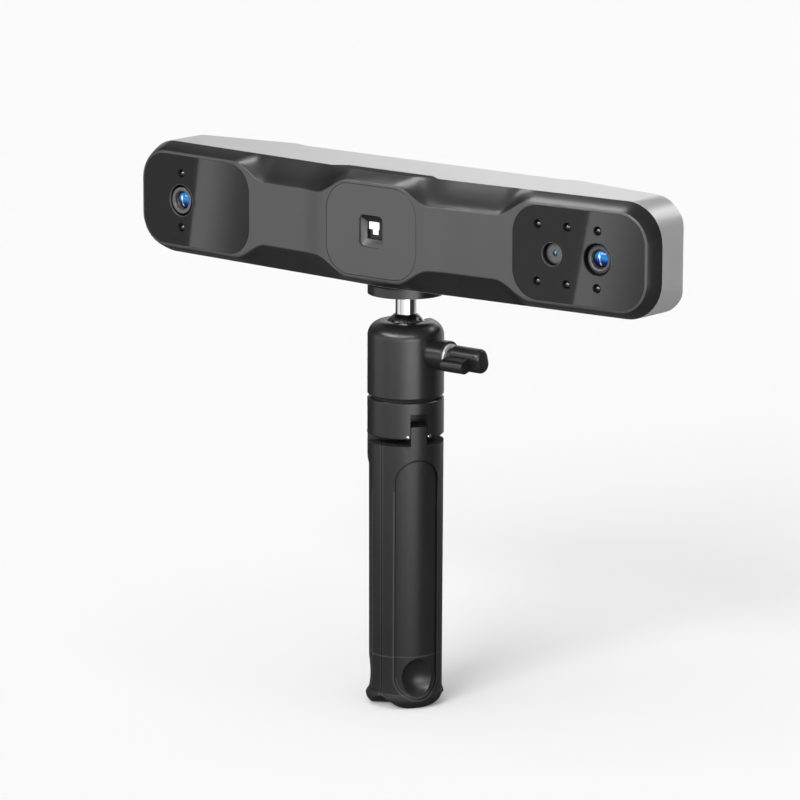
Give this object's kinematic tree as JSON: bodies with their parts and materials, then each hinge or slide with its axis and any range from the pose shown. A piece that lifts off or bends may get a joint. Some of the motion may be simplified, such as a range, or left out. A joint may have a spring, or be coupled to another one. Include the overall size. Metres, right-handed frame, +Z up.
{
  "type": "handheld three-d scanner",
  "caption": "Bar-shaped handheld 3-D scanner with lens pods and a middle projector, on a ball head and a folding mini tripod that serves as its handle.",
  "frame": {"origin": "on the floor under the middle of the overall box; the handle's axis is 2.5 mm behind it", "axes": "+X along the scanner to the right seen from the front, the lenses look along -Y, +Z up"},
  "size_m": [0.3, 0.0462, 0.2503],
  "materials": {
    "cover_grey": "satin dark grey",
    "shell_silver": "satin silver paint",
    "window_smoke": "gloss smoked",
    "projector_glass": "frosted white",
    "barrel_grey": "dark anodised",
    "lens_blue": "coated",
    "bezel_grey": "satin",
    "lens_cyan": "coated",
    "lamp_clear": "clear cast resin",
    "board_green": "solder mask",
    "module_black": "matte",
    "frame_aluminium": "machined",
    "brass": "machined",
    "steel": "bright",
    "indicator": "translucent",
    "black_plastic": "satin black",
    "black_metal": "black anodised",
    "pad_rubber": "matte",
    "chrome": "polished",
    "seat_nylon": "natural nylon"
  },
  "bodies": {
    "base": {"crown": "black_plastic", "hinge_pins": "steel", "head_stud": "steel", "friction_washer": "black_plastic"},
    "leg_right": {"right_leg": "black_plastic", "right_foot": "black_plastic"},
    "leg_left": {"left_leg": "black_plastic", "left_foot": "black_plastic"},
    "leg_rear": {"rear_leg": "black_plastic", "rear_foot": "black_plastic"},
    "head": {"head_housing": "black_metal", "ball_seat": "seat_nylon"},
    "knob": {"lock_knob": "black_plastic", "lock_screw": "steel", "knob_washer": "chrome"},
    "stud": {"ball": "black_metal", "stem": "chrome"},
    "button": {"scan_button": "black_plastic"},
    "scanner": {"front_cover": "cover_grey", "rear_shell": "shell_silver", "left_window": "window_smoke", "right_window": "window_smoke", "projector_plate": "cover_grey", "projector_glass": "projector_glass", "left_lens_barrel": "barrel_grey", "right_lens_barrel": "barrel_grey", "left_lens_glass": "lens_blue", "right_lens_glass": "lens_blue", "color_lens_bezel": "bezel_grey", "color_lens_glass": "lens_cyan", "depth_lamps": "lamp_clear", "fill_lamps": "lamp_clear", "left_lamp_board": "board_green", "right_lamp_board": "board_green", "left_camera": "module_black", "right_camera": "module_black", "color_camera": "module_black", "projector_module": "module_black", "optical_frame": "frame_aluminium", "main_board": "board_green", "board_standoffs": "brass", "heat_sink": "frame_aluminium", "cable_socket": "steel", "button_switch": "module_black", "indicator_light": "indicator", "tripod_insert": "brass", "shell_screws": "steel", "platform_disc": "black_metal", "platform_pad": "pad_rubber", "tripod_screw": "steel"}
  },
  "joints": [
    {"name": "leg_right_hinge", "type": "hinge", "parent": "base", "child": "leg_right", "pos_m": [0.01083, -0.00375, 0.13], "axis": [-0.5, -0.866, 0], "range_deg": [0, 70]},
    {"name": "leg_left_hinge", "type": "hinge", "parent": "base", "child": "leg_left", "pos_m": [-0.01083, -0.00375, 0.13], "axis": [-0.5, 0.866, 0], "range_deg": [0, 70]},
    {"name": "leg_rear_hinge", "type": "hinge", "parent": "base", "child": "leg_rear", "pos_m": [0, 0.015, 0.13], "axis": [1, 0, 0], "range_deg": [0, 70]},
    {"name": "head_pan", "type": "hinge", "parent": "base", "child": "head", "pos_m": [0, 0.0025, 0.14615], "axis": [0, 0, 1], "continuous": true},
    {"name": "ball_tilt", "type": "hinge", "parent": "head", "child": "stud", "pos_m": [0, 0.0025, 0.17535], "axis": [-1, 0, 0], "range_deg": [-20, 80]},
    {"name": "scanner_spin", "type": "hinge", "parent": "stud", "child": "scanner", "pos_m": [0, 0.0025, 0.19235], "axis": [0, 0, 1], "continuous": true},
    {"name": "knob_turn", "type": "hinge", "parent": "head", "child": "knob", "pos_m": [0.03, 0.0025, 0.16595], "axis": [-1, 0, 0], "range_deg": [0, 180]},
    {"name": "button_press", "type": "slide", "parent": "scanner", "child": "button", "axis": [0, -1, 0], "range_m": [0, 0.0008], "stiffness_N_per_m": 1500, "springref_m": -0.0004}
  ]
}
